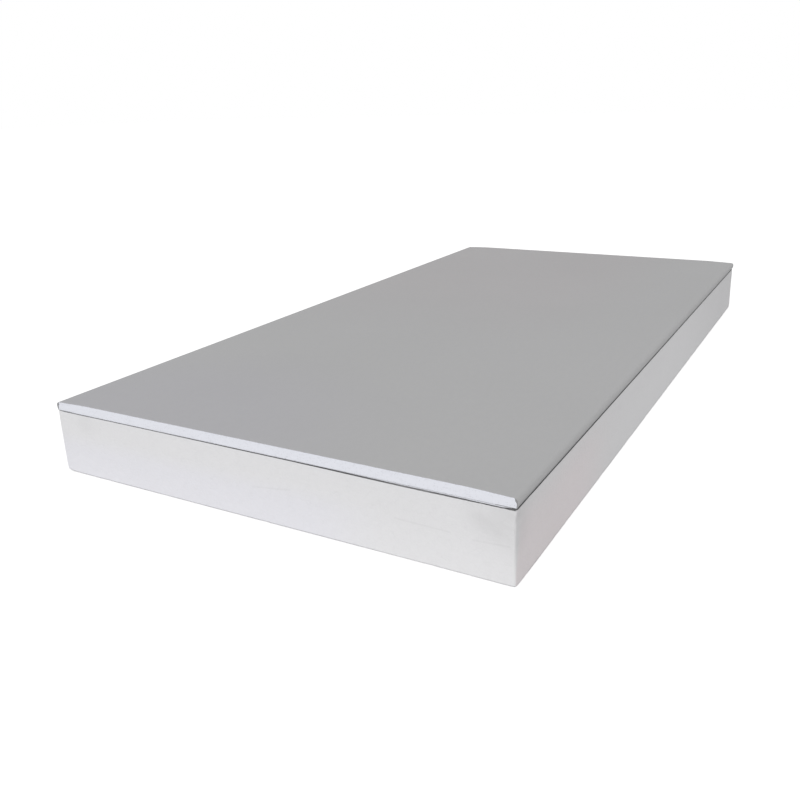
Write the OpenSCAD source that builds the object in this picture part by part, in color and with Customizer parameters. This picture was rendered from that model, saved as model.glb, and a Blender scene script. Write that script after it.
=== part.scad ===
// Insulated drywall sheet: a plasterboard with tapered, paper-wrapped long edges, glued to a
// thick slab of white expanded polystyrene. It lies face up, with the foam underneath.
// X runs across the width, Y along the length, and Z is up from the underside of the foam.
// The origin is at the middle of that underside.

/* [Sheet] */
// Length of the sheet between its two square-cut ends
sheet_len = 1200; // [600:50:3000]
// Width of the plasterboard at the widest point of its rounded long edges
board_w = 600; // [400:10:1250]

/* [Plasterboard] */
// Thickness of the plasterboard over both papers
board_t = 12.5; // [9.5:0.5:18]
// Width of the tapered band along each long edge
taper_w = 50; // [40:1:80]
// Depth of the taper at the long edge
taper_depth = 1.6; // [0.6:0.1:2.5]
// How far each long edge swells out at its widest, measured from where it meets the back
edge_swell = 1.2; // [0.5:0.1:2.5]
// Drop from the lower end of the face fold to the widest point of the long edge
edge_widest_drop = 0.5; // [0.25:0.25:2]
// Outside radius of the fold from the face on to the long edge
face_fold_r = 4.5; // [1:0.25:5]
// Outside radius of the fold from the long edge on to the back
back_fold_r = 0.75; // [0.5:0.25:2]

/* [Paper] */
// Thickness of the face paper
face_paper_t = 0.35; // [0.2:0.05:0.5]
// Thickness of the back paper
back_paper_t = 0.3; // [0.2:0.05:0.5]
// Width of the face paper's flap that lies on the back, inward from the back fold
flap_w = 20; // [10:1:40]
// Strip of that flap that the back paper leaves bare next to the back fold
bare_flap_w = 4; // [2:0.5:8]

/* [Insulation] */
// Thickness of the foam slab
foam_t = 80; // [20:5:200]
// How far each long side of the foam stands back from the board's long edge
foam_side_inset = 0.5; // [0:0.25:10]
// Radius of the foam's arrises
foam_arris_r = 0.5; // [0.25:0.25:4]

/* [Glue] */
// Thickness of the glue film between the foam and the back paper
glue_t = 0.9; // [0.2:0.1:2]
// Depth of the open seam all round, from the foam's rim in to the glue film
seam_depth = 2.5; // [1:0.5:30]

/* [Hidden] */

// Straight steps in a fold, in the edge's arc above or below its widest point, and in an arris
fold_steps = 6;
edge_steps = 5;
arris_steps = 4;

// Plan size of the foam, and the heights of what lies on it
foam_w = board_w - 2 * foam_side_inset;
glue_z = foam_t;
board_z = glue_z + glue_t;

// The board's long edge is drawn in section on the right-hand side: x from the middle of the
// sheet, y up from the back of the board. The edge is one shallow arc, and a fold at each end
// of it is tangent to that arc and to the taper or the flap.
half_w = board_w / 2;
taper_angle = atan(taper_depth / taper_w);
taper_start = [half_w - taper_w, board_t];
taper_along = [cos(taper_angle), -sin(taper_angle)];
taper_normal = [sin(taper_angle), cos(taper_angle)];

edge_widest_y = board_t - taper_depth - face_fold_r - edge_widest_drop;
edge_rise = edge_widest_y - back_paper_t;
edge_r = (edge_rise * edge_rise + edge_swell * edge_swell) / (2 * edge_swell);
edge_centre = [half_w - edge_r, edge_widest_y];

// The face fold's centre lies one fold radius under the taper, where it touches the edge's arc
face_fold_base = taper_start - face_fold_r * taper_normal;
face_fold_run = along_to_circle(face_fold_base, taper_along, edge_centre, edge_r - face_fold_r);
face_fold_centre = face_fold_base + face_fold_run * taper_along;

// The back fold's centre lies one fold radius above the flap's outer face
back_fold_base = [half_w - taper_w, back_paper_t + back_fold_r];
back_fold_run = along_to_circle(back_fold_base, [1, 0], edge_centre, edge_r - back_fold_r);
back_fold_centre = back_fold_base + back_fold_run * [1, 0];

edge_top_angle = bearing(edge_centre, face_fold_centre);
edge_bottom_angle = bearing(edge_centre, back_fold_centre);

// Where the flap and the back paper end, from the middle of the sheet, and the flap's inner face
flap_x = back_fold_centre.x - flap_w;
back_paper_x = back_fold_centre.x - bare_flap_w;
flap_top = back_paper_t + face_paper_t;

// Distance along a line, from start in a unit direction, to its far crossing of a circle
function along_to_circle(start, direction, centre, r) =
    let (offset = start - centre, along = offset * direction)
    -along + sqrt(along * along - offset * offset + r * r);

// Angle of the line from one point to another
function bearing(from, to) = atan2(to.y - from.y, to.x - from.x);

// Points on an arc; first = 1 leaves out a point that the stretch before it already has
function arc(centre, r, from, to, steps, first = 0) =
    [for (i = [first:steps]) let (a = from + (to - from) * i / steps) centre + r * [cos(a), sin(a)]];

function mirrored(points) = [for (p = points) [-p.x, p.y]];
function reversed(points) = [for (i = [len(points) - 1:-1:0]) points[i]];

// Half of the board's section, from the start of the taper down round the long edge to the
// flap, at a depth under the outside of the face paper
function edge_section(depth) = concat(
    [taper_start - depth * [tan(taper_angle / 2), 1]],
    arc(face_fold_centre, face_fold_r - depth, 90 - taper_angle, edge_top_angle, fold_steps),
    arc(edge_centre, edge_r - depth, edge_top_angle, 0, edge_steps, 1),
    arc(edge_centre, edge_r - depth, 0, edge_bottom_angle, edge_steps, 1),
    arc(back_fold_centre, back_fold_r - depth, edge_bottom_angle, -90, fold_steps, 1)
);

// The whole way over the board, from its left flap over the face to its right flap
function wrapped_section(depth) =
    concat(reversed(mirrored(edge_section(depth))), edge_section(depth));

// A section stood upright and run along the whole sheet, with its base at height z
module along_sheet(z) {
    translate([0, sheet_len / 2, z])
        rotate([90, 0, 0])
            linear_extrude(height = sheet_len)
                children();
}

module rounded_rectangle(width, height, r) {
    corners = [[1, 1], [-1, 1], [-1, -1], [1, -1]];
    polygon([
        for (i = [0:3])
            let (centre = [corners[i].x * (width / 2 - r), corners[i].y * (height / 2 - r)])
            each arc(centre, r, 90 * i, 90 * (i + 1), arris_steps)
    ]);
}

// White foam slab with every arris eased
module insulation_board() {
    color([0.91, 0.91, 0.92])
        translate([0, 0, foam_t / 2])
            intersection() {
                linear_extrude(height = foam_t, center = true)
                    rounded_rectangle(foam_w, sheet_len, foam_arris_r);
                rotate([90, 0, 0])
                    linear_extrude(height = sheet_len, center = true)
                        rounded_rectangle(foam_w, foam_t, foam_arris_r);
                rotate([90, 0, 90])
                    linear_extrude(height = foam_w, center = true)
                        rounded_rectangle(sheet_len, foam_t, foam_arris_r);
            }
}

// Glue film that stops short of the rim and leaves a dark open seam
module glue_film() {
    color([0.46, 0.45, 0.44])
        translate([0, 0, glue_z + glue_t / 2])
            cube([foam_w - 2 * seam_depth, sheet_len - 2 * seam_depth, glue_t], center = true);
}

// Back paper, which laps over the face paper's two flaps
module back_paper() {
    color([0.55, 0.55, 0.56])
        along_sheet(board_z)
            translate([-back_paper_x, 0])
                square([2 * back_paper_x, back_paper_t]);
}

// Gypsum core, thinner under the tapers and rebated on its back for the two flaps
module gypsum_core() {
    color([0.87, 0.88, 0.90])
        along_sheet(board_z)
            polygon(concat(
                wrapped_section(face_paper_t),
                [
                    [flap_x, flap_top],
                    [flap_x, back_paper_t],
                    [-flap_x, back_paper_t],
                    [-flap_x, flap_top]
                ]
            ));
}

// Face paper: one sheet over the face, round both long edges and on to the back
module face_paper() {
    color([0.67, 0.67, 0.675])
        along_sheet(board_z)
            polygon(concat(
                [[-flap_x, back_paper_t]],
                wrapped_section(0),
                [[flap_x, back_paper_t], [flap_x, flap_top]],
                reversed(wrapped_section(face_paper_t)),
                [[-flap_x, flap_top]]
            ));
}

insulation_board();
glue_film();
back_paper();
gypsum_core();
face_paper();
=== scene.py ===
import math
from collections import Counter, defaultdict, namedtuple

import bmesh
import bpy
import numpy as np
from mathutils import Matrix, Vector, noise


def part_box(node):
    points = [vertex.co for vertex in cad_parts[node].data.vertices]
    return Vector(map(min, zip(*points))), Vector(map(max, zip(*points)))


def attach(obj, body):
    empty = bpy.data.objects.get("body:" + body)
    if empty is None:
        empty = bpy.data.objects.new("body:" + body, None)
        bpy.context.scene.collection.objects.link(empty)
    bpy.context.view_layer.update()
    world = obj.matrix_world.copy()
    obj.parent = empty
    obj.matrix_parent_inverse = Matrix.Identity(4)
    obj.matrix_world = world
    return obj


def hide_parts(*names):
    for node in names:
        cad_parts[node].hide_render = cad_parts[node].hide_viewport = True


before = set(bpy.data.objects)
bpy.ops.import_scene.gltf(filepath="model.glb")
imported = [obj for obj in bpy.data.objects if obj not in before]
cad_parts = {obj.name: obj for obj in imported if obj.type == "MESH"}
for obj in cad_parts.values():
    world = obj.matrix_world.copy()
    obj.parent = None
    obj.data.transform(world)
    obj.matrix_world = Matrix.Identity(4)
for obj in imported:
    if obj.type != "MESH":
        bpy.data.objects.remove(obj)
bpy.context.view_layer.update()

bl_info = {
    "name": "Insulated drywall sheet",
    "version": (1, 0, 0),
    "blender": (4, 5, 0),
    "location": "View3D > Sidebar > Drywall",
    "description": "Dresses a paper-faced gypsum board on a polystyrene slab, and lights it",
    "category": "Add Mesh",
}

MM = 0.001
BODY = "root"
FOAM_LOW, FOAM_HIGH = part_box("insulation_board")
PAPER_LOW, PAPER_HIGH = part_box("face_paper")
NEAR_END = PAPER_LOW.y
FAR_END = PAPER_HIGH.y
WHITE = (1.0, 1.0, 1.0, 1.0)

# The photograph is square, so the lens is worked out on a square picture
PICTURE_PIXELS = 800
SENSOR_MM = 36.0
FOCAL_PIXELS = 830.84


class FoamSettings(bpy.types.PropertyGroup):
    """Shape and finish of the polystyrene slab."""

    colour: bpy.props.FloatVectorProperty(
        name="Foam colour", description="Colour of a clean cut bead face",
        subtype="COLOR", size=3, min=0.0, max=1.0, default=(0.858, 0.855, 0.868))
    # This colour also serves as painted shade on the foam, and as a painted contact shadow along its foot
    grime_and_shade: bpy.props.FloatVectorProperty(
        name="Grime colour", description="Colour of smudges and of the gaps between beads",
        subtype="COLOR", size=3, min=0.0, max=1.0, default=(0.40, 0.395, 0.40))
    cool: bpy.props.FloatVectorProperty(
        name="Cool foam colour", description="Bluish cast low on the foam, towards its left",
        subtype="COLOR", size=3, min=0.0, max=1.0, default=(0.858, 0.855, 0.896))
    warm: bpy.props.FloatVectorProperty(
        name="Warm foam colour", description="Pinkish cast on the foam's right side, near the front",
        subtype="COLOR", size=3, min=0.0, max=1.0, default=(0.892, 0.844, 0.858))
    # Partly painted shade: besides glue and dust, this dark colour on the foam's top stands in for the
    # shade deep in the seam
    stain_and_shade: bpy.props.FloatVectorProperty(
        name="Seam stain colour", description="Colour of the glue and dust on the foam in the seam",
        subtype="COLOR", size=3, min=0.0, max=1.0, default=(0.14, 0.14, 0.145))
    bead: bpy.props.FloatProperty(
        name="Bead size", description="Usual distance across one foam bead",
        unit="LENGTH", min=0.001, max=0.02, default=0.0042)
    pitch: bpy.props.FloatProperty(
        name="Side mesh pitch", description="Distance between the mesh lines round the slab's sides",
        unit="LENGTH", min=0.001, max=0.05, default=0.0025)
    arris: bpy.props.FloatProperty(
        name="Arris radius", description="Radius of a sound arris",
        unit="LENGTH", min=0.0002, max=0.005, default=0.00045)
    wear: bpy.props.FloatProperty(
        name="Arris wear", description="Most that knocks add to an arris's radius",
        unit="LENGTH", min=0.0, max=0.008, default=0.0008)
    corner_wear: bpy.props.FloatProperty(
        name="Corner wear", description="What knocks add to the radius at each corner",
        unit="LENGTH", min=0.0, max=0.01, default=0.0005)
    blunt: bpy.props.FloatProperty(
        name="Blunted corner", description="What a knock adds at the near end's lower left corner",
        unit="LENGTH", min=0.0, max=0.01, default=0.0012)
    chip: bpy.props.FloatProperty(
        name="Chipped corner", description="How far the same corner's foot is chipped away upward",
        unit="LENGTH", min=0.0, max=0.002, default=0.0013)
    wave: bpy.props.FloatProperty(
        name="Cutting wave", description="Depth of the shallow waves that the hot wire leaves",
        unit="LENGTH", min=0.0, max=0.002, default=0.00025)
    rim_lift: bpy.props.FloatProperty(
        name="Rim lift", description="How far the rim swells into the seam at the near end's left side",
        unit="LENGTH", min=0.0, max=0.0006, default=0.0004)
    corner_lift: bpy.props.FloatProperty(
        name="Corner lift", description="How much further the rim is pressed up at the near left corner",
        unit="LENGTH", min=0.0, max=0.0006, default=0.0006)
    rim_crumbs: bpy.props.FloatProperty(
        name="Rim crumbs", description="Height of torn beads on the near rim, towards its right",
        unit="LENGTH", min=0.0, max=0.0008, default=0.0006)
    rim_sag: bpy.props.FloatProperty(
        name="Rim sag", description="How far the rim is crushed down at the near right and along the right",
        unit="LENGTH", min=0.0, max=0.002, default=0.0012)
    toe_wear: bpy.props.FloatProperty(
        name="Toe wear", description="What knocks add to the near lower arris",
        unit="LENGTH", min=0.0, max=0.004, default=0.0012)
    slope: bpy.props.FloatProperty(
        name="Side slope", description="How much further out the right side's foot stands than its top",
        unit="LENGTH", min=0.0, max=0.0012, default=0.0011)
    splay: bpy.props.FloatProperty(
        name="Left splay", description="How much further out the left side's foot stands than its top",
        unit="LENGTH", min=0.0, max=0.0005, default=0.00045)
    upright_wear: bpy.props.FloatProperty(
        name="Upright wear", description="Most that knocks add to the near right upright arris",
        unit="LENGTH", min=0.0, max=0.005, default=0.0016)
    upright_dent: bpy.props.FloatProperty(
        name="Upright dent", description="How far the near right upright arris is pressed in at mid height",
        unit="LENGTH", min=0.0, max=0.003, default=0.0014)


class BoardSettings(bpy.types.PropertyGroup):
    """Shape and finish of the gypsum board and its papers."""

    paper: bpy.props.FloatVectorProperty(
        name="Face paper colour", description="Colour of the grey paper on the face and long edges",
        subtype="COLOR", size=3, min=0.0, max=1.0, default=(0.538, 0.538, 0.543))
    paper_cut: bpy.props.FloatVectorProperty(
        name="Cut paper colour", description="Colour of the paper's plies where it was sawn",
        subtype="COLOR", size=3, min=0.0, max=1.0, default=(0.26, 0.26, 0.268))
    back_paper: bpy.props.FloatVectorProperty(
        name="Back paper colour", description="Colour of the grey paper on the back",
        subtype="COLOR", size=3, min=0.0, max=1.0, default=(0.263, 0.263, 0.273))
    gypsum: bpy.props.FloatVectorProperty(
        name="Gypsum colour", description="Colour of the sawn gypsum at the ends",
        subtype="COLOR", size=3, min=0.0, max=1.0, default=(0.872, 0.886, 0.948))
    # The glue's dark colour is partly painted shade, darkening the deep seam
    glue: bpy.props.FloatVectorProperty(
        name="Glue colour", description="Colour of the glue film in the seam",
        subtype="COLOR", size=3, min=0.0, max=1.0, default=(0.18, 0.172, 0.163))
    pitch: bpy.props.FloatProperty(
        name="Paper mesh pitch", description="Distance between the mesh lines along the paper face",
        unit="LENGTH", min=0.004, max=0.05, default=0.010)
    fray_pitch: bpy.props.FloatProperty(
        name="Fray pitch", description="Distance between the mesh lines across the paper face",
        unit="LENGTH", min=0.001, max=0.05, default=0.003)
    ripple: bpy.props.FloatProperty(
        name="Face ripple", description="Depth of the faint hollows in the paper face",
        unit="LENGTH", min=0.0, max=0.0003, default=0.00012)
    fray: bpy.props.FloatProperty(
        name="Cut fray", description="Most that the sawn edge of the paper wanders inward",
        unit="LENGTH", min=0.0, max=0.002, default=0.0007)
    lip: bpy.props.FloatProperty(
        name="Paper lip", description="Most that the sawn paper rolls over the gypsum at a long edge",
        unit="LENGTH", min=0.0, max=0.004, default=0.0024)
    droop: bpy.props.FloatProperty(
        name="Back paper fringe", description="Most that the back paper's torn plies hang into the seam",
        unit="LENGTH", min=0.0, max=0.0014, default=0.0013)
    recess: bpy.props.FloatProperty(
        name="Core recess", description="Least that the sawn gypsum lies in from the cut plane",
        unit="LENGTH", min=0.0004, max=0.002, default=0.00045)
    saw_pitch: bpy.props.FloatProperty(
        name="Cut mesh pitch", description="Distance between the mesh lines on the sawn gypsum",
        unit="LENGTH", min=0.0005, max=0.01, default=0.00125)
    saw_depth: bpy.props.FloatProperty(
        name="Cut roughness", description="Depth of the roughness of the sawn gypsum",
        unit="LENGTH", min=0.0, max=0.002, default=0.00035)
    pit_depth: bpy.props.FloatProperty(
        name="Air pit depth", description="Depth of the open air pits in the sawn gypsum",
        unit="LENGTH", min=0.0, max=0.003, default=0.0008)


class StageSettings(bpy.types.PropertyGroup):
    """Floor, light and camera."""

    floor: bpy.props.FloatVectorProperty(
        name="Floor colour", description="Colour of the floor as it lights the sheet",
        subtype="COLOR", size=3, min=0.0, max=1.0, default=(0.85, 0.85, 0.85))
    floor_lift: bpy.props.FloatProperty(
        name="Floor lift", description="What the seen floor gains, so that it meets a white background",
        min=0.0, max=1.0, default=0.52)
    floor_size: bpy.props.FloatProperty(
        name="Floor size", description="Length of the floor's sides",
        unit="LENGTH", min=2.0, max=100.0, default=40.0)
    fill: bpy.props.FloatProperty(
        name="Fill strength", description="Even light from all round",
        min=0.0, max=2.0, default=0.497)
    key: bpy.props.FloatProperty(
        name="Key strength", description="Strength of the soft key light",
        min=0.0, max=10.0, default=1.15)
    key_spread: bpy.props.FloatProperty(
        name="Key spread", description="Angle that the key light fills in the sky",
        subtype="ANGLE", min=0.0, max=math.pi, default=math.radians(45.0))
    key_from: bpy.props.FloatVectorProperty(
        name="Key direction", description="Direction from the sheet towards the key light",
        subtype="DIRECTION", size=3, default=(0.10, -0.82, 0.57))
    camera_place: bpy.props.FloatVectorProperty(
        name="Camera place", description="Where the camera stands",
        subtype="TRANSLATION", unit="LENGTH", size=3, default=(0.53883, -1.22405, 0.42532))
    camera_azimuth: bpy.props.FloatProperty(
        name="Camera azimuth", description="Angle round the sheet from its near end",
        subtype="ANGLE", default=math.radians(29.713))
    camera_elevation: bpy.props.FloatProperty(
        name="Camera elevation", description="Angle that the camera looks down",
        subtype="ANGLE", default=math.radians(19.780))
    camera_roll: bpy.props.FloatProperty(
        name="Camera roll", description="Turn of the camera about its own view",
        subtype="ANGLE", default=math.radians(-1.676))


# Shader maths

class Value:
    """A number that varies over a surface. Arithmetic on it adds Math nodes."""

    def __init__(self, graph, socket):
        self.graph = graph
        self.socket = socket

    def math(self, operation, first, second):
        return self.graph.node("ShaderNodeMath", {"operation": operation}, {0: first, 1: second})

    def __add__(self, other):
        return self.math("ADD", self, other)

    def __sub__(self, other):
        return self.math("SUBTRACT", self, other)

    def __rsub__(self, other):
        return self.math("SUBTRACT", other, self)

    def __mul__(self, other):
        return self.math("MULTIPLY", self, other)

    def __abs__(self):
        return self.math("ABSOLUTE", self, 0.0)

    def largest(self, other):
        return self.math("MAXIMUM", self, other)

    __radd__ = __add__
    __rmul__ = __mul__


class Graph:
    """A node tree, built up node by node."""

    def __init__(self, tree):
        self.tree = tree
        tree.nodes.clear()

    def node(self, kind, settings=None, inputs=None, output=0):
        """Add a node. Its settings come first, then each socket takes a value or a link."""
        made = self.tree.nodes.new(kind)
        for name, setting in (settings or {}).items():
            setattr(made, name, setting)
        for name, given in (inputs or {}).items():
            if isinstance(given, Value):
                self.tree.links.new(given.socket, made.inputs[name])
            else:
                made.inputs[name].default_value = given
        return Value(self, made.outputs[output]) if len(made.outputs) else None

    def seen(self):
        """1 for rays from the camera, straight or by way of gloss or glass, and 0 for others."""
        kinds = ("Is Camera Ray", "Is Glossy Ray", "Is Transmission Ray")
        straight, glossy, through = [self.node("ShaderNodeLightPath", output=kind) for kind in kinds]
        return straight.largest(glossy).largest(through)


class Finish(Graph):
    """A procedural material."""

    def __init__(self, name):
        self.material = bpy.data.materials.new(name)
        self.material.use_nodes = True
        super().__init__(self.material.node_tree)

    def place(self):
        """Position on the part, in metres."""
        return self.node("ShaderNodeTexCoord", output="Object")

    def facing(self):
        """Direction in which the mesh's own face looks."""
        return self.node("ShaderNodeNewGeometry", output="True Normal")

    def vector(self, operation, first, second, output="Vector"):
        """Vector Math on two vectors."""
        return self.node("ShaderNodeVectorMath", {"operation": operation}, {0: first, 1: second}, output)

    def clouds(self, place, scale, detail=3.0, roughness=0.5):
        """Soft noise from 0 to 1. The scale is its count per metre."""
        inputs = {"Vector": place, "Scale": scale, "Detail": detail, "Roughness": roughness}
        return self.node("ShaderNodeTexNoise", {}, inputs)

    def streaks(self, place, scales, detail=3.0, roughness=0.5):
        """Soft noise from 0 to 1, with a scale of its own along each axis."""
        return self.clouds(self.vector("MULTIPLY", place, scales), 1.0, detail, roughness)

    def cells(self, place, scale, feature="F1", output="Distance"):
        """Irregular cells, such as beads or pits. The scale is their count per metre."""
        inputs = {"Vector": place, "Scale": scale}
        return self.node("ShaderNodeTexVoronoi", {"feature": feature}, inputs, output)

    def pick(self, place, scale):
        """A number from 0 to 1 that stays the same all over one cell."""
        return self.part_of(self.cells(place, scale, output="Color"), "X")

    def specks(self, place, scale, fade, least):
        """Soft dots in the cells whose picked number is above the least. They fade over two distances."""
        dot = self.ramp(self.cells(place, scale), *fade, 1.0, 0.0)
        return dot * self.ramp(self.pick(place, scale), least, least + 0.05)

    def ramp(self, value, low, high, start=0.0, end=1.0):
        """Smooth step from start at low to end at high."""
        inputs = {"Value": value, "From Min": low, "From Max": high, "To Min": start, "To Max": end}
        return self.node("ShaderNodeMapRange", {"interpolation_type": "SMOOTHSTEP"}, inputs)

    def part_of(self, vector, axis):
        """One component of a vector or colour."""
        return self.node("ShaderNodeSeparateXYZ", {}, {"Vector": vector}, axis)

    def axes(self, vector):
        """All three components of a vector."""
        return [self.part_of(vector, axis) for axis in "XYZ"]

    def spot(self, place, centre, inner, outer):
        """1 within the inner distance of a point, fading to 0 at the outer distance."""
        distance = self.vector("DISTANCE", place, centre, "Value")
        return self.ramp(distance, inner, outer, 1.0, 0.0)

    def scratch(self, place, start, end, width):
        """1 along a straight line between two points, fading to 0 at the given distance."""
        run = Vector(end) - Vector(start)
        offset = self.vector("SUBTRACT", place, start)
        share = self.vector("DOT_PRODUCT", offset, run / run.length_squared, "Value")
        held = self.node("ShaderNodeClamp", {}, {"Value": share})
        nearest = self.node("ShaderNodeVectorMath", {"operation": "SCALE"}, {0: run, "Scale": held})
        return self.ramp(self.vector("DISTANCE", offset, nearest, "Value"), 0.0, width, 1.0, 0.0)

    def mix(self, factor, first, second, blend="MIX"):
        """Blend two colours."""
        settings = {"data_type": "RGBA", "blend_type": blend}
        return self.node("ShaderNodeMix", settings, {0: factor, 6: first, 7: second}, 2)

    def shade(self, colour, tone):
        """A colour made lighter or darker by a varying tone, where 1 leaves it as it is."""
        grey = self.node("ShaderNodeCombineColor", {}, {"Red": tone, "Green": tone, "Blue": tone})
        return self.mix(1.0, colour, grey, "MULTIPLY")

    def bump(self, height, distance):
        """Fine relief."""
        inputs = {"Height": height, "Distance": distance, "Strength": 1.0}
        return self.node("ShaderNodeBump", {}, inputs)

    def surface(self, colour, roughness, normal, specular):
        """Finish with a dull dielectric surface."""
        inputs = {"Base Color": colour, "Roughness": roughness, "Normal": normal,
                  "Specular IOR Level": specular}
        self.output(self.node("ShaderNodeBsdfPrincipled", {}, inputs))
        return self.material

    def output(self, shader):
        """End the material with a shader."""
        self.node("ShaderNodeOutputMaterial", {}, {"Surface": shader})


def opaque(colour):
    """A property's colour with full alpha, as a socket wants it."""
    return (*colour, 1.0)


# Finishes

# Depth of the fine relief that each finish adds
FOAM_RELIEF = 0.18 * MM
PAPER_RELIEF = 0.05 * MM
GYPSUM_RELIEF = 0.12 * MM
GLUE_RELIEF = 0.2 * MM

# Scales along each axis of what runs in one direction, in counts per metre
WIRE_STREAKS = (5.0, 5.0, 420.0)
SMEARS = (14.0, 14.0, 60.0)
PAPER_FIBRES = (1500.0, 420.0, 1500.0)
PAPER_CLOUDS = (150.0, 70.0, 150.0)
SAW_MARKS = (1100.0, 300.0, 45.0)
GLUE_RIDGES = (260.0, 8.0, 260.0)

# Rise of the foam's smears for each metre to the left
SMEAR_SLANT = 0.3

# Smudges on the foam's near end, and a soft darker patch high at its near right corner: the centre, and the
# distances between which each one fades
CORNER_DARK_PATCH = ((FOAM_HIGH.x - 16 * MM, NEAR_END, 66 * MM), 8 * MM, 50 * MM)
LEFT_SMUDGE = ((FOAM_LOW.x + 45 * MM, NEAR_END, 72 * MM), 0.0, 26 * MM)
THUMB_MARK = ((FOAM_HIGH.x - 12 * MM, NEAR_END, 72 * MM), 3 * MM, 20 * MM)

# Faint scratches on the foam's near end, each from one (x, z) in millimetres to another
FOAM_SCRATCHES = (
    ((-3.5, 40.0), (46.0, 46.0)),
    ((173.0, 43.0), (232.0, 42.0)),
    ((256.0, 39.5), (292.0, 41.5)),
)
SCRATCH_WIDTH = 1.8 * MM

# Distances in from a face of the foam between which what lies on that face alone fades
FACE_SKIN = (0.2 * MM, 1.0 * MM)

# Stretches over which the foam's painted shade fades: heights over its foot, and x or distances from the
# left
# Painted contact shadow along the foot, stronger toward the left
FOOT_SHADOW_UP = (0.6 * MM, 2.2 * MM)
FOOT_SHADOW_X = (50 * MM, 200 * MM)
# Painted shade: a taller band at the foot within about 20 mm of the left side, by the chipped corner
CHIP_SHADE_UP = (1.2 * MM, 3.0 * MM)
CHIP_SHADE_FROM_LEFT = (9 * MM, 20 * MM)
# Painted shade: the foam darker toward its top
SHADE_HIGH_UP = (5 * MM, 75 * MM)

# Stretches over which the foam's cool cast fades, and its warm one from the near end
COOL_X = (60 * MM, 170 * MM)
COOL_UP = (30 * MM, 60 * MM)
WARM_FROM_NEAR = (160 * MM, 340 * MM)

# Height over the paper's lowest line within which a long edge is darkened: painted shade low on its fold,
# and scuffing
SCUFFED_AND_SHADED_UP = (0.5 * MM, 5.5 * MM)

# Faint casts of the recycled paper, which multiply its colour, and where they lie
BLUE_CAST = (0.997, 0.992, 1.020, 1.0)
BLUE_PATCH = ((-150 * MM, NEAR_END, PAPER_HIGH.z), 100 * MM, 320 * MM)
ROSY_CAST = (1.013, 0.991, 0.995, 1.0)
ROSY_X = (50 * MM, 250 * MM)
ROSY_Y = (-250 * MM, 250 * MM)


def foam_smudges(finish, place):
    """Strength of the smears, a soft darker patch at the near right corner, the thumb mark and the
    scratches on the foam's near end.
    """
    x, y, z = finish.axes(place)
    slanted = finish.node("ShaderNodeCombineXYZ", {}, {"X": x, "Y": y, "Z": z + x * SMEAR_SLANT})
    smear = finish.streaks(slanted, SMEARS, 1.0)
    corner = finish.spot(place, *CORNER_DARK_PATCH) * (0.09 + finish.ramp(smear, 0.35, 0.65) * 0.09)
    left = finish.spot(place, *LEFT_SMUDGE) * smear * 0.14
    marks = corner + left + finish.spot(place, *THUMB_MARK) * 0.07
    for ends in FOAM_SCRATCHES:
        start, end = [(across * MM, NEAR_END, up * MM) for across, up in ends]
        marks = marks + finish.scratch(place, start, end, SCRATCH_WIDTH) * 0.07
    return marks


def foam_grime_and_shade(finish, place):
    """Strength of the painted contact shadow along the foam's foot, painted shade by its chipped left
    corner, soiling on its upright arrises, and painted shade toward its top and its far end.
    """
    x, y, z = finish.axes(place)
    up = z - FOAM_LOW.z
    # Painted contact shadow along the foot, stronger toward the left
    foot = finish.ramp(up, *FOOT_SHADOW_UP, 0.8, 0.0) * finish.ramp(x, *FOOT_SHADOW_X, 1.0, 0.6)
    # Painted shade at the foot near the left side, by the chipped corner
    chip_x = finish.ramp(x - FOAM_LOW.x, *CHIP_SHADE_FROM_LEFT, 1.0, 0.0)
    chip_up = finish.ramp(up, *CHIP_SHADE_UP, 0.6, 0.0)
    side = finish.ramp(FOAM_HIGH.x - abs(x), *FACE_SKIN, 1.0, 0.0)
    end = finish.ramp(FAR_END - abs(y), *FACE_SKIN, 1.0, 0.0)
    # Painted shade: darker toward the far end and toward the top
    painted_shade_far_and_high = finish.ramp(y, 0.0, FAR_END, 0.0, 0.20) + finish.ramp(up, *SHADE_HIGH_UP, 0.0, 0.05)
    return foot.largest(chip_x * chip_up) + side * end * 0.12 + painted_shade_far_and_high


def foam_cast(finish, place, settings):
    """Colour of clean foam: cooler low on the left, and warmer on the right side near the front."""
    x, y, z = finish.axes(place)
    low_left = finish.ramp(x, *COOL_X, 1.0, 0.0) * finish.ramp(z - FOAM_LOW.z, *COOL_UP, 1.0, 0.0)
    right_side = finish.ramp(FOAM_HIGH.x - x, *FACE_SKIN, 1.0, 0.0)
    near_side = right_side * finish.ramp(y - NEAR_END, *WARM_FROM_NEAR, 1.0, 0.0)
    cool = finish.mix(low_left, opaque(settings.colour), opaque(settings.cool))
    return finish.mix(near_side, cool, opaque(settings.warm))


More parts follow.
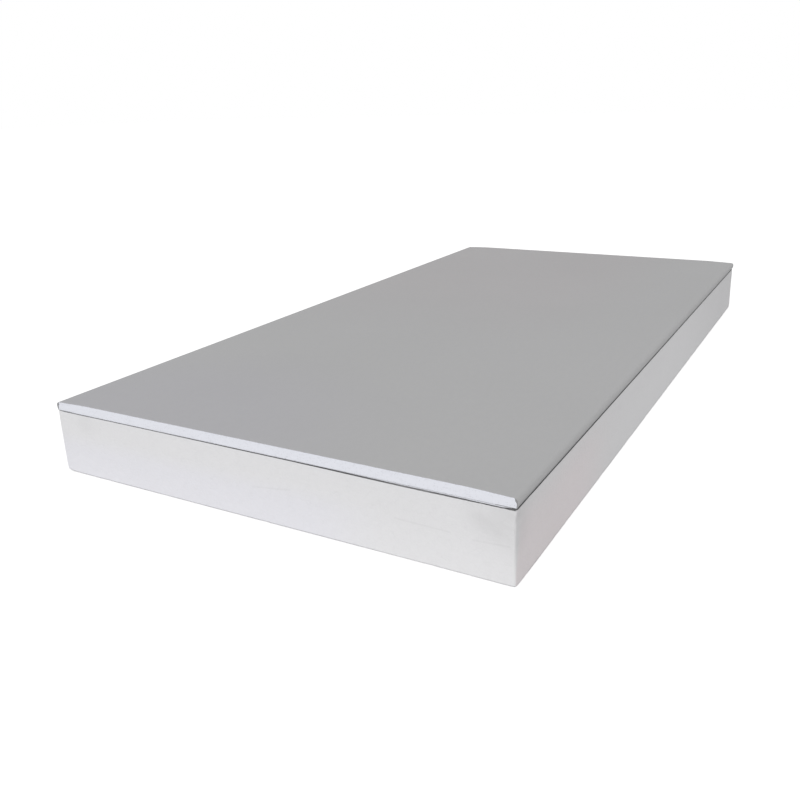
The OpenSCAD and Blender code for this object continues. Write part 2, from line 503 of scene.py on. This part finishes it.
def foam_finish(settings):
    """Cut polystyrene: welded beads with tiny gaps, faint wire streaks, smudges and soiling, with painted
    shade: a contact shadow along the foot, darker toward the top and far end, and dark in the seam.
    """
    finish = Finish("white_foam_cut")
    place = finish.place()
    beads = 1.0 / settings.bead
    bead_tone = finish.pick(place, beads)
    groove = finish.ramp(finish.cells(place, beads, "DISTANCE_TO_EDGE"), 0.0, 0.09, 1.0, 0.0)
    gap = groove * finish.ramp(finish.clouds(place, 120.0), 0.30, 0.72)
    streaks = finish.streaks(place, WIRE_STREAKS, 2.0)
    mottle = finish.clouds(place, 7.0, 2.0)
    tone = 0.970 + bead_tone * 0.014 + streaks * 0.014 + mottle * 0.03
    clean = finish.shade(foam_cast(finish, place, settings), tone)
    # Smudges, dark bead gaps, soiling on the upright arrises, and the foam's painted shade and contact
    # shadow
    dirt_and_shade = foam_smudges(finish, place) + gap * 0.06 + foam_grime_and_shade(finish, place)
    dirty_and_shaded = finish.mix(dirt_and_shade, clean, opaque(settings.grime_and_shade))
    # Painted shade in the seam: the foam's upward faces take the dark seam colour, partly glue and dust
    glued_and_shaded = finish.ramp(finish.part_of(finish.facing(), "Z"), 0.55, 0.85) * 0.9
    colour = finish.mix(glued_and_shaded, dirty_and_shaded, opaque(settings.stain_and_shade))
    roughness = 0.72 + bead_tone * 0.10 + mottle * 0.10
    dome = finish.ramp(finish.cells(place, beads), 0.0, 0.9, 0.35, 0.0)
    fine = finish.clouds(place, 1500.0, 2.0)
    height = dome - gap * 0.55 + streaks * 0.25 + fine * 0.12
    return finish.surface(colour, roughness, finish.bump(height, FOAM_RELIEF), specular=0.3)


def paper_cast(finish, place):
    """Faint blue cast on the paper's near left, and rosy cast on its far left."""
    x, y, _ = finish.axes(place)
    blue = finish.spot(place, *BLUE_PATCH)
    rosy = finish.ramp(y, *ROSY_Y) * finish.ramp(x, *ROSY_X, 1.0, 0.0)
    return finish.mix(rosy, finish.mix(blue, WHITE, BLUE_CAST), ROSY_CAST)


def paper_finish(name, colour, cut_colour):
    """Recycled paper: felted fibres along the sheet, soft clouding and small dark flecks, with painted
    shade low on the long edges and painted light toward the near end and the right.
    """
    finish = Finish(name)
    place = finish.place()
    x, y, z = finish.axes(place)
    fibres = finish.streaks(place, PAPER_FIBRES, 3.0, 0.6)
    cloud = finish.streaks(place, PAPER_CLOUDS)
    drift = finish.clouds(place, 5.0)
    fleck = finish.specks(place, 300.0, (0.05, 0.16), 0.70)
    # Painted shade low on the long edges' folds, where they turn under, with some scuffing
    scuffed_and_shaded = finish.ramp(z - PAPER_LOW.z, *SCUFFED_AND_SHADED_UP, 0.28, 0.0)
    # Painted light and shade: the face lighter toward the near end and the right, darker toward the far end
    painted_light_to_near = finish.ramp(y, NEAR_END, FAR_END, 0.025, -0.030)
    painted_light_to_right = finish.ramp(x, 0.0, PAPER_HIGH.x, 0.0, 0.012)
    tone = 0.92 + fibres * 0.08 + cloud * 0.04 + drift * 0.05 - fleck * 0.15
    shaded = finish.shade(opaque(colour), tone - scuffed_and_shaded + painted_light_to_near + painted_light_to_right)
    tinted = finish.mix(1.0, shaded, paper_cast(finish, place), "MULTIPLY")
    sawn = finish.ramp(abs(finish.part_of(finish.facing(), "Y")), 0.5, 0.8) * 0.8
    cut = finish.mix(sawn, tinted, opaque(cut_colour))
    relief = finish.bump(fibres + cloud * 0.6, PAPER_RELIEF)
    return finish.surface(cut, 0.78 + fibres * 0.12, relief, specular=0.25)


def gypsum_finish(settings):
    """Sawn gypsum: chalky grains, pin holes darkened with painted shade, and faint upright saw marks."""
    finish = Finish("sawn_gypsum")
    place = finish.place()
    grain = finish.clouds(place, 900.0, 4.0, 0.65)
    patches = finish.clouds(place, 60.0)
    marks = finish.streaks(place, SAW_MARKS, 2.0)
    pin = finish.specks(place, 700.0, (0.12, 0.30), 0.55)
    # Painted shade: the pin holes are darkened where their pits would hold shade
    tone = 0.95 + grain * 0.05 + patches * 0.03 + marks * 0.03 - pin * 0.22
    relief = finish.bump(grain + marks * 0.8 - pin * 1.5, GYPSUM_RELIEF)
    colour = finish.shade(opaque(settings.gypsum), tone)
    return finish.surface(colour, 0.85 + grain * 0.1, relief, specular=0.2)


def glue_finish(settings):
    """Dried glue: a little glossy, with combed ridges, and a dark colour that is partly painted shade deep
    in the seam.
    """
    finish = Finish("dried_glue")
    ridges = finish.streaks(finish.place(), GLUE_RIDGES)
    # Partly painted shade: the glue is coloured dark so that the seam reads darker
    colour = finish.shade(opaque(settings.glue), 0.85 + ridges * 0.3)
    relief = finish.bump(ridges, GLUE_RELIEF)
    return finish.surface(colour, 0.35 + ridges * 0.3, relief, specular=0.4)


# Mesh helpers

# Faces that meet at more than this angle keep a sharp edge
SHARP_ANGLE = math.radians(40.0)

# How far a point may lie off an end or a line and still count as on it, and the decimals of a
# metre to which two corners agree when they are one
TOLERANCE = 0.001 * MM
DECIMALS = 7


def roll_noise(x, y, z):
    """Smooth noise between about -1 and 1 at a point. A fixed coordinate only picks a slice of it."""
    return noise.noise(Vector((x, y, z)))


def soft_noise(x, y, z):
    """The same noise, brought to between about 0 and 1."""
    return 0.5 + 0.5 * roll_noise(x, y, z)


def eased(value, start, full):
    """Smooth step from 0 at start to 1 at full, which may be the lower of the two."""
    share = min(1.0, max(0.0, (value - start) / (full - start)))
    return share * share * (3.0 - 2.0 * share)


def mesh_piece(name, vertices, faces, material, node):
    """Make a smooth closed mesh that stands for a CAD node and rides on the part."""
    mesh = bpy.data.meshes.new(name)
    mesh.from_pydata([tuple(v) for v in vertices], [], faces)
    work = bmesh.new()
    work.from_mesh(mesh)
    bmesh.ops.recalc_face_normals(work, faces=work.faces)
    work.to_mesh(mesh)
    work.free()
    mesh.shade_smooth()
    mesh.set_sharp_from_angle(angle=SHARP_ANGLE)
    mesh.materials.append(material)
    piece = bpy.data.objects.new(name, mesh)
    bpy.context.scene.collection.objects.link(piece)
    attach(piece, BODY)
    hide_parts(node)
    return piece


def near_outline(node):
    """The node's section at its near end, as a closed loop of (x, z) points."""
    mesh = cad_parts[node].data
    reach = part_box(node)[0].y + TOLERANCE
    sides = Counter()
    for face in mesh.polygons:
        points = [mesh.vertices[i].co for i in face.vertices]
        if all(p.y < reach for p in points):
            keys = [(round(p.x, DECIMALS), round(p.z, DECIMALS)) for p in points]
            sides.update(frozenset(pair) for pair in zip(keys, keys[1:] + keys[:1]))
    joined = defaultdict(list)
    for side, count in sides.items():
        if count == 1:
            first, second = side
            joined[first].append(second)
            joined[second].append(first)
    loop = [min(joined)]
    ahead = joined[loop[0]][0]
    while ahead != loop[0]:
        loop.append(ahead)
        ahead = next(p for p in joined[ahead] if p != loop[-2])
    return loop


def started_at(loop, first, second_left):
    """The same loop from another point, turned so that it first runs to the left or right."""
    i = loop.index(first)
    turned = loop[i:] + loop[:i]
    if (turned[1][0] < first[0]) != second_left:
        turned = turned[:1] + turned[:0:-1]
    return turned


def grid_faces(index, rows, columns):
    """Quads between neighbouring rows and columns of a grid of vertices."""
    return [
        (index(r, c), index(r, c + 1), index(r + 1, c + 1), index(r + 1, c))
        for r in range(rows - 1)
        for c in range(columns - 1)
    ]


def paired_faces(rows, columns):
    """Faces of a closed piece: a grid of vertices on each of two sides, and the rim between them."""
    def front(row, column):
        return row * columns + column

    def back(row, column):
        return (rows + row) * columns + column

    faces = grid_faces(front, rows, columns) + grid_faces(back, rows, columns)
    for column in (0, columns - 1):
        faces += [(front(r, column), front(r + 1, column), back(r + 1, column), back(r, column))
                  for r in range(rows - 1)]
    for row in (0, rows - 1):
        faces += [(front(row, c), front(row, c + 1), back(row, c + 1), back(row, c))
                  for c in range(columns - 1)]
    return faces


# The foam slab

# Distances in from the slab's outline of its close mesh lines, and of the last ring on a big face
ARRIS_LINES = np.array([0.0, 0.15, 0.3, 0.5, 1.0, 2.2, 4.5]) * MM
LAST_RING = 9 * MM

# Scales of the noise that wears the slab, in counts per metre
KNOCKS = 55.0
NIBBLES = 240.0
UPRIGHT_KNOCKS = 75.0
TORN_BEADS = 130.0
CRUSHED_RIM = 45.0
CUTTING_WAVES = np.array([9.0, 9.0, 45.0])

# How far each kind of wear reaches from its corner or arris
CORNER_REACH = 7 * MM
BLUNT_REACH = 4 * MM
UPRIGHT_REACH = 5 * MM
TOE_REACH = 4 * MM
CHIP_REACH = 9 * MM

# Distances in from a face at which something starts, and at which it is full
TOE_FADE = (60 * MM, 10 * MM)
RIM_HEIGHT = (6 * MM, 0.0)
RIM_WIDTH = (2.4 * MM, 0.9 * MM)
PRESSED_CORNER = (9 * MM, 2 * MM)
CHIP_WIDTH = (8 * MM, 0.0)
CHIP_HEIGHT = (4 * MM, 0.0)

# Stretches of the near rim, by x, from where something starts to where it is full
SWOLLEN_LEFT = (120 * MM, -200 * MM)
SWOLLEN_RIGHT = (200 * MM, 280 * MM)
TORN_RIM = (60 * MM, 180 * MM)
SAGGING_RIM = (40 * MM, 190 * MM)

# Shares of the slab's height: where the right side's lean turns, and where the upright dent fades
SLOPE_PIVOT = 0.4
DENT_TOP = (0.98, 0.78)
DENT_FOOT = (0.05, 0.4)

# Distances in from the slab's six faces
Insets = namedtuple("Insets", "left near foot right far top")


def spaced_from_edges(half, pitch):
    """Mesh lines from -half to half: fine steps next to both edges, then an even pitch."""
    inner = half - ARRIS_LINES[-1]
    steps = max(2, round(2 * inner / pitch))
    middle = np.linspace(-inner, inner, steps + 1)
    edge = half - ARRIS_LINES[:-1]
    return np.concatenate([-edge, middle, edge[::-1]])


def round_plan(half, pitch):
    """Points round the slab's plan, from its near left corner and on past its near right one."""
    across = spaced_from_edges(half[0], pitch)
    along = spaced_from_edges(half[1], pitch)
    near = [(x, -half[1]) for x in across[:-1]]
    right = [(half[0], y) for y in along[:-1]]
    far = [(x, half[1]) for x in across[:0:-1]]
    left = [(-half[0], y) for y in along[:0:-1]]
    return np.array(near + right + far + left)


def slab_lattice(half, pitch):
    """Vertices and faces of a box with fine mesh lines at its arrises and two plain big faces."""
    plan = round_plan(half, pitch)
    levels = spaced_from_edges(half[2], 2 * pitch)
    rings = [(inset, -half[2]) for inset in (LAST_RING, *ARRIS_LINES[:0:-1])]
    rings += [(0.0, level) for level in levels]
    rings += [(inset, half[2]) for inset in (*ARRIS_LINES[1:], LAST_RING)]
    vertices = []
    for inset, level in rings:
        shrink = 1.0 - inset / half[:2]
        vertices += [(*point, level) for point in plan * shrink]
    count = len(plan)
    faces = []
    for ring in range(len(rings) - 1):
        for i in range(count):
            j = (i + 1) % count
            low = ring * count
            faces.append((low + i, low + j, low + count + j, low + count + i))
    top = (len(rings) - 1) * count
    faces.append(tuple(range(count)))
    faces.append(tuple(range(top, top + count)))
    return np.array(vertices), faces


def near_right_upright(inset):
    """1 on the near right upright arris, fading with the distance from it."""
    return math.exp(-math.hypot(inset.right, inset.near) / UPRIGHT_REACH)


def arris_radius(place, inset, settings):
    """Radius of the arris next to a point: a sound one's, and what knocks have added."""
    knocks = max(0.0, roll_noise(*(place * KNOCKS)) - 0.12) * 1.6
    nibble = 0.35 * abs(roll_noise(*(place * NIBBLES)))
    nearest = (min(inset.left, inset.right), min(inset.near, inset.far), min(inset.foot, inset.top))
    corner = math.exp(-math.hypot(*nearest) / CORNER_REACH)
    blunt = math.exp(-math.hypot(inset.left, inset.near, inset.foot) / BLUNT_REACH)
    upright = near_right_upright(inset) * soft_noise(1.0, 2.0, place[2] * UPRIGHT_KNOCKS)
    toe = math.exp(-math.hypot(inset.near, inset.foot) / TOE_REACH)
    toe *= 1.0 - 0.7 * eased(inset.right, *TOE_FADE)
    radius = settings.arris + settings.wear * min(1.0, knocks + nibble)
    radius += settings.corner_wear * corner + settings.blunt * blunt
    return radius + settings.upright_wear * upright + settings.toe_wear * toe


def rounded(p, half, radius, sunk):
    """A point of a box, brought on to the curve of its arris and sunk a little."""
    core = np.clip(p, radius - half, half - radius)
    out = p - core
    return core + out / np.linalg.norm(out) * (radius - sunk)


def rim_rise(place, inset, settings):
    """How far a point of the upper rim is swollen up into the seam or crushed down."""
    x, y, _ = place
    high = eased(inset.top, *RIM_HEIGHT)
    near_rim = high * eased(inset.near, *RIM_WIDTH)
    right_rim = high * eased(inset.right, *RIM_WIDTH)
    swollen = max(eased(x, *SWOLLEN_LEFT), 0.4 * eased(x, *SWOLLEN_RIGHT))
    torn = eased(x, *TORN_RIM) * abs(roll_noise(x * TORN_BEADS, 4.0, 9.0))
    lift = settings.rim_lift * swollen + settings.corner_lift * eased(inset.left, *PRESSED_CORNER)
    crushed = right_rim * (0.55 + 0.25 * roll_noise(7.0, y * CRUSHED_RIM, 3.0))
    sag = max(near_rim * eased(x, *SAGGING_RIM), crushed)
    return near_rim * (lift + settings.rim_crumbs * torn) - settings.rim_sag * sag


def foot_chip(inset, settings):
    """How far a point by the near lower left corner is chipped away upward."""
    across = max(0.0, 1.0 - inset.left / CHIP_REACH)
    return settings.chip * across * eased(inset.near, *CHIP_WIDTH) * eased(inset.foot, *CHIP_HEIGHT)


def shift_right(x, inset, settings):
    """How far the lean of the long sides and the dent in the near right upright move a point."""
    height = inset.foot / (inset.foot + inset.top)
    lean = settings.slope * eased(x, 0.0, FOAM_HIGH.x) * (SLOPE_PIVOT - height)
    splay = settings.splay * eased(x, 0.0, FOAM_LOW.x) * (1.0 - height)
    dent = eased(height, *DENT_TOP) * (0.5 + 0.5 * eased(height, *DENT_FOOT))
    return lean - splay - settings.upright_dent * near_right_upright(inset) * dent


def build_foam(settings):
    """Slab of cut foam with faint waves, worn arrises, an uneven rim, a chip and leaning sides."""
    half = np.array(FOAM_HIGH - FOAM_LOW) / 2
    middle = np.array(FOAM_HIGH + FOAM_LOW) / 2
    points, faces = slab_lattice(half, settings.pitch)
    shaped = []
    for p in points:
        place = p + middle
        inset = Insets(*(half + p), *(half - p))
        wave = settings.wave * soft_noise(*(place * CUTTING_WAVES))
        cut = rounded(p, half, arris_radius(place, inset, settings), wave) + middle
        rise = rim_rise(place, inset, settings) + foot_chip(inset, settings)
        shaped.append(cut + (shift_right(place[0], inset, settings), 0.0, rise))
    material = foam_finish(settings)
    return mesh_piece("foam_slab", shaped, faces, material, "insulation_board")


# The gypsum core

# Mesh lines up a sawn end, and how far they stop short of the tips of the core's section
SAWN_ROWS = 11
TIP = 0.05 * MM

# Scales of the sawn ends' noise, in counts per metre, the fine one across and up
SAW_COARSE = 120.0
SAW_FINE = (620.0, 240.0)
AIR_PITS = 330.0


def core_sides(outline):
    """Upper and lower side of the core's section, each as points from left to right."""
    left = min(outline)
    turned = started_at(outline, left, False)
    right = turned.index(max(turned))
    one = np.array(turned[:right + 1])
    other = np.array((turned[right:] + turned[:1])[::-1])
    if one[:, 1].mean() > other[:, 1].mean():
        return one, other
    return other, one


def sawn_depth(x, z, settings, seed):
    """How far the sawn end lies in from the cut plane, past the least that it does."""
    coarse = soft_noise(x * SAW_COARSE, z * SAW_COARSE, seed)
    fine = soft_noise(x * SAW_FINE[0], z * SAW_FINE[1], seed + 7.0)
    pit = max(0.0, roll_noise(x * AIR_PITS, z * AIR_PITS, seed + 19.0) - 0.42) * 2.2
    return settings.saw_depth * (0.6 * coarse + 0.4 * fine) + settings.pit_depth * min(1.0, pit)


def build_core(settings):
    """Gypsum core whose two sawn ends are rough and pitted."""
    upper, lower = core_sides(near_outline("gypsum_core"))
    left, right = upper[0, 0] + TIP, upper[-1, 0] - TIP
    steps = round((right - left) / settings.saw_pitch)
    across = np.linspace(left, right, steps + 1)
    top = np.interp(across, upper[:, 0], upper[:, 1])
    bottom = np.interp(across, lower[:, 0], lower[:, 1])
    vertices = []
    for end, inward, seed in ((NEAR_END, 1.0, 3.0), (FAR_END, -1.0, 31.0)):
        for row in range(SAWN_ROWS):
            height = bottom + (top - bottom) * row / (SAWN_ROWS - 1)
            for x, z in zip(across, height):
                depth = settings.recess + sawn_depth(x, z, settings, seed)
                vertices.append((x, end + inward * depth, z))
    faces = paired_faces(SAWN_ROWS, len(across))
    material = gypsum_finish(settings)
    return mesh_piece("gypsum_board_core", vertices, faces, material, "gypsum_core")


# The papers

# Mesh lines along the face paper: the first ones in from a sawn end, and where an even pitch starts
END_LINES = np.array([0.0, 0.8, 2.0, 5.0]) * MM
EVEN_START = 12 * MM

# The lip at a sawn end: its depth, how far it stops short of the paper's inside where it has no
# width, how far under the face it is widest, and how much wider it is on the left than on the right
LIP_DEPTH = 0.3 * MM
LIP_SHORT = 0.02 * MM
LIP_WIDEST = 2.0 * MM
LEFT_ROLL = 1.35

# The face takes in what lies this far under its highest line, and droops a little at a sawn end
FACE_DEPTH = 2.5 * MM
END_DROP = 0.10 * MM
END_DROP_REACH = 0.7 * MM

# Scales of the papers' noise, in counts per metre, the lip's across and up, the hollows' across
# and along
FRAY_LONG = 45.0
FRAY_SHORT = 420.0
LIP_WANDER = (9.0, 330.0)
FACE_HOLLOWS = (7.0, 5.0)
FRINGE_RAGS = 110.0

# The back paper's fringe: its depth from the sawn end, and the stretches of x over which it
# loosens in two steps and ends
FRINGE_DEPTH = 2.2 * MM
FRINGE_LOOSE = (90 * MM, 190 * MM)
FRINGE_LOOSER = (235 * MM, 270 * MM)
FRINGE_END = (284 * MM, 292 * MM)


def paper_path(pitch):
    """Outer and inner points across the paper, from its left flap over the face to its right flap."""
    outline = near_outline("face_paper")
    lowest = min(z for _, z in outline)
    flap_end = max(p for p in outline if p[0] < 0 and p[1] < lowest + TOLERANCE)
    loop = started_at(outline, flap_end, True)
    half = len(loop) // 2
    outer, inner = loop[:half], loop[:half - 1:-1]
    pairs = np.array([(*a, *b) for a, b in zip(outer, inner)])
    path = [pairs[0]]
    for before, after in zip(pairs, pairs[1:]):
        steps = max(1, math.ceil(np.linalg.norm(after[:2] - before[:2]) / pitch))
        path += [before + (after - before) * (i + 1) / steps for i in range(steps)]
    return np.array(path)


def frayed(x, z, settings, seed):
    """How far the paper's sawn edge stops short of the cut plane."""
    long_wave = soft_noise(x * FRAY_LONG, z * FRAY_LONG, seed)
    short_wave = soft_noise(x * FRAY_SHORT, z * FRAY_SHORT, seed + 5.0)
    return settings.fray * (0.35 * long_wave + 0.65 * short_wave)


def lip_width(outer, inward, settings, seed):
    """How far the sawn paper reaches over the core's end, and how squarely it stands on a long edge."""
    x, z = outer
    on_edge = eased(abs(inward[0]), 0.25, 0.8)
    height = eased(z, PAPER_LOW.z, PAPER_HIGH.z - LIP_WIDEST)
    wander = 0.85 + 0.3 * roll_noise(x * LIP_WANDER[0], z * LIP_WANDER[1], seed)
    rolled = LEFT_ROLL if x < 0 else 1.0
    return settings.lip * rolled * on_edge * (0.12 + 0.88 * height) * min(1.0, wander), on_edge


def face_drop(x, y, from_end, settings):
    """How far the paper face lies under its plane: faint hollows, and a droop at the sawn ends."""
    hollow = soft_noise(x * FACE_HOLLOWS[0], y * FACE_HOLLOWS[1], 2.0)
    return settings.ripple * hollow + END_DROP * math.exp(-from_end / END_DROP_REACH)


def paper_row(pair, outside, even_lines, settings):
    """One mesh line along the sheet, on the paper's outside or inside, with a lip at both ends."""
    outer, inner = pair[:2], pair[2:]
    thickness = np.linalg.norm(inner - outer)
    inward = (inner - outer) / thickness
    ends = []
    for seed in (11.0, 43.0):
        lip, on_edge = lip_width(outer, inward, settings, seed)
        fray = frayed(*outer, settings, seed) * (1.0 - 0.8 * on_edge)
        ends.append((fray, outer + inward * (thickness - LIP_SHORT + lip)))
    (near_fray, near_tip), (far_fray, far_tip) = ends
    near, far = NEAR_END + near_fray, FAR_END - far_fray
    under = 0.0 if outside else LIP_DEPTH
    lines = np.concatenate([near + END_LINES, even_lines, far - END_LINES[::-1]])
    lines[0] += under
    lines[-1] -= under
    x, z = outer if outside else inner
    on_face = outside and z > PAPER_HIGH.z - FACE_DEPTH
    row = [(near_tip[0], near + under, near_tip[1])]
    for y in lines:
        drop = face_drop(x, y, min(y - near, far - y), settings) if on_face else 0.0
        row.append((x, y, z - drop))
    row.append((far_tip[0], far - under, far_tip[1]))
    return row


def build_paper(settings):
    """Face paper: one skin over the face and round both long edges, with frayed sawn ends."""
    path = paper_path(settings.fray_pitch)
    steps = round((FAR_END - NEAR_END) / settings.pitch)
    even_lines = np.linspace(NEAR_END + EVEN_START, FAR_END - EVEN_START, steps)
    rows = [paper_row(pair, outside, even_lines, settings) for outside in (True, False) for pair in path]
    vertices = [point for row in rows for point in row]
    faces = paired_faces(len(path), len(rows[0]))
    material = paper_finish("grey_face_paper", settings.paper, settings.paper_cut)
    return mesh_piece("face_paper_wrap", vertices, faces, material, "face_paper")


def fringe_hang(x):
    """Share of its most that the back paper's torn fringe hangs down."""
    loose = 0.62 * eased(x, *FRINGE_LOOSE) + 0.38 * eased(x, *FRINGE_LOOSER)
    ragged = 0.75 + 0.25 * roll_noise(x * FRINGE_RAGS, 5.0, 8.0)
    return loose * (1.0 - eased(x, *FRINGE_END)) * ragged


def build_back_paper(settings):
    """Back paper: a flat sheet with frayed sawn ends and a dusty fringe that hangs into the seam."""
    low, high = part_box("back_paper")
    across = np.linspace(low.x, high.x, round((high.x - low.x) / settings.fray_pitch) + 1)
    vertices = []
    for z, droop in ((low.z, settings.droop), (high.z, 0.0)):
        for x in across:
            near = low.y + frayed(x, low.z, settings, 71.0)
            far = high.y - frayed(x, low.z, settings, 97.0)
            vertices.append((x, near, z - droop * fringe_hang(x)))
            vertices += [(x, y, z) for y in (low.y + FRINGE_DEPTH, high.y - FRINGE_DEPTH, far)]
    faces = paired_faces(len(across), 4)
    material = paper_finish("grey_back_paper", settings.back_paper, settings.gypsum)
    return mesh_piece("back_paper_sheet", vertices, faces, material, "back_paper")


# The stage

# Gap that keeps the floor clear of the foam, and the nearest that the camera sees
FLOOR_GAP = 0.1 * MM
CLIP_START = 10 * MM


def build_world(settings):
    """Even fill that the camera sees as plain white."""
    world = bpy.data.worlds.new("studio")
    world.use_nodes = True
    graph = Graph(world.node_tree)
    lit = graph.node("ShaderNodeBackground", {}, {"Color": WHITE, "Strength": settings.fill})
    plain = graph.node("ShaderNodeBackground", {}, {"Color": WHITE, "Strength": 1.0})
    either = graph.node("ShaderNodeMixShader", {}, {0: graph.seen(), 1: lit, 2: plain})
    graph.node("ShaderNodeOutputWorld", {}, {"Surface": either})
    bpy.context.scene.world = world


def build_floor(settings):
    """Pale floor that keeps the sheet's shadow and runs into the white background."""
    finish = Finish("pale_floor")
    dull = {"Base Color": opaque(settings.floor), "Roughness": 0.9, "Specular IOR Level": 0.0}
    lifted = {**dull, "Emission Color": WHITE, "Emission Strength": settings.floor_lift}
    plain = finish.node("ShaderNodeBsdfPrincipled", {}, dull)
    bright = finish.node("ShaderNodeBsdfPrincipled", {}, lifted)
    finish.output(finish.node("ShaderNodeMixShader", {}, {0: finish.seen(), 1: plain, 2: bright}))
    half = settings.floor_size / 2
    level = FOAM_LOW.z - FLOOR_GAP
    mesh = bpy.data.meshes.new("floor")
    corners = [(-half, -half, level), (half, -half, level), (half, half, level), (-half, half, level)]
    mesh.from_pydata(corners, [], [(0, 1, 2, 3)])
    mesh.materials.append(finish.material)
    floor = bpy.data.objects.new("floor", mesh)
    bpy.context.scene.collection.objects.link(floor)


def build_key(settings):
    """Broad soft key light from in front of the near end."""
    lamp = bpy.data.lights.new("key", "SUN")
    lamp.energy = settings.key
    lamp.angle = settings.key_spread
    key = bpy.data.objects.new("key", lamp)
    key.rotation_euler = Vector(settings.key_from).to_track_quat("Z", "Y").to_euler()
    bpy.context.scene.collection.objects.link(key)


def build_camera(settings):
    """Camera at the photograph's viewing angle."""
    azimuth, elevation, roll = settings.camera_azimuth, settings.camera_elevation, settings.camera_roll
    back = Vector((math.sin(azimuth) * math.cos(elevation),
                   -math.cos(azimuth) * math.cos(elevation),
                   math.sin(elevation)))
    level = Vector((0.0, 0.0, 1.0)).cross(back).normalized()
    upright = back.cross(level)
    right = level * math.cos(roll) + upright * math.sin(roll)
    up = back.cross(right)
    turn = Matrix((right, up, back)).transposed().to_4x4()
    data = bpy.data.cameras.new("photo_camera")
    data.sensor_width = SENSOR_MM
    data.lens = FOCAL_PIXELS * SENSOR_MM / PICTURE_PIXELS
    data.clip_start = CLIP_START
    camera = bpy.data.objects.new("photo_camera", data)
    camera.matrix_world = Matrix.Translation(Vector(settings.camera_place)) @ turn
    bpy.context.scene.collection.objects.link(camera)
    bpy.context.scene.camera = camera


# Operators

class DRYWALL_OT_stage(bpy.types.Operator):
    """Add the floor, the light and the camera"""

    bl_idname = "drywall.stage"
    bl_label = "Add stage"

    def execute(self, context):
        settings = context.scene.drywall_stage
        context.scene.view_settings.view_transform = "Standard"
        build_world(settings)
        build_floor(settings)
        build_key(settings)
        build_camera(settings)
        return {"FINISHED"}


class DRYWALL_OT_foam(bpy.types.Operator):
    """Add the polystyrene slab"""

    bl_idname = "drywall.foam"
    bl_label = "Add foam slab"

    def execute(self, context):
        build_foam(context.scene.drywall_foam)
        return {"FINISHED"}


class DRYWALL_OT_core(bpy.types.Operator):
    """Add the gypsum core with its sawn ends"""

    bl_idname = "drywall.core"
    bl_label = "Add gypsum core"

    def execute(self, context):
        build_core(context.scene.drywall_board)
        return {"FINISHED"}


class DRYWALL_OT_paper(bpy.types.Operator):
    """Add the face paper that wraps the board, and the back paper"""

    bl_idname = "drywall.paper"
    bl_label = "Add papers"

    def execute(self, context):
        build_paper(context.scene.drywall_board)
        build_back_paper(context.scene.drywall_board)
        return {"FINISHED"}


class DRYWALL_OT_glue(bpy.types.Operator):
    """Finish the glue film that shows in the seam"""

    bl_idname = "drywall.glue"
    bl_label = "Finish glue film"

    def execute(self, context):
        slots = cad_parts["glue_film"].data.materials
        slots.clear()
        slots.append(glue_finish(context.scene.drywall_board))
        return {"FINISHED"}


class DRYWALL_PT_sheet(bpy.types.Panel):
    """Sizes, colours and steps of the drywall sheet"""

    bl_idname = "DRYWALL_PT_sheet"
    bl_label = "Insulated drywall sheet"
    bl_space_type = "VIEW_3D"
    bl_region_type = "UI"
    bl_category = "Drywall"

    def draw(self, context):
        layout = self.layout
        for group in PROPERTY_GROUPS:
            box = layout.box()
            settings = getattr(context.scene, group)
            for name in settings.bl_rna.properties.keys():
                if name not in ("rna_type", "name"):
                    box.prop(settings, name)
        for operator in OPERATORS:
            layout.operator(operator.bl_idname)


PROPERTY_GROUPS = {
    "drywall_foam": FoamSettings,
    "drywall_board": BoardSettings,
    "drywall_stage": StageSettings,
}
OPERATORS = (DRYWALL_OT_stage, DRYWALL_OT_foam, DRYWALL_OT_core, DRYWALL_OT_paper, DRYWALL_OT_glue)


def register():
    for name, group in PROPERTY_GROUPS.items():
        bpy.utils.register_class(group)
        setattr(bpy.types.Scene, name, bpy.props.PointerProperty(type=group))
    for cls in (*OPERATORS, DRYWALL_PT_sheet):
        bpy.utils.register_class(cls)


def unregister():
    for cls in (DRYWALL_PT_sheet, *reversed(OPERATORS)):
        bpy.utils.unregister_class(cls)
    for name, group in reversed(PROPERTY_GROUPS.items()):
        delattr(bpy.types.Scene, name)
        bpy.utils.unregister_class(group)


def main():
    register()
    bpy.ops.drywall.stage()
    bpy.ops.drywall.foam()
    bpy.ops.drywall.core()
    bpy.ops.drywall.paper()
    bpy.ops.drywall.glue()


if __name__ == "__main__":
    main()
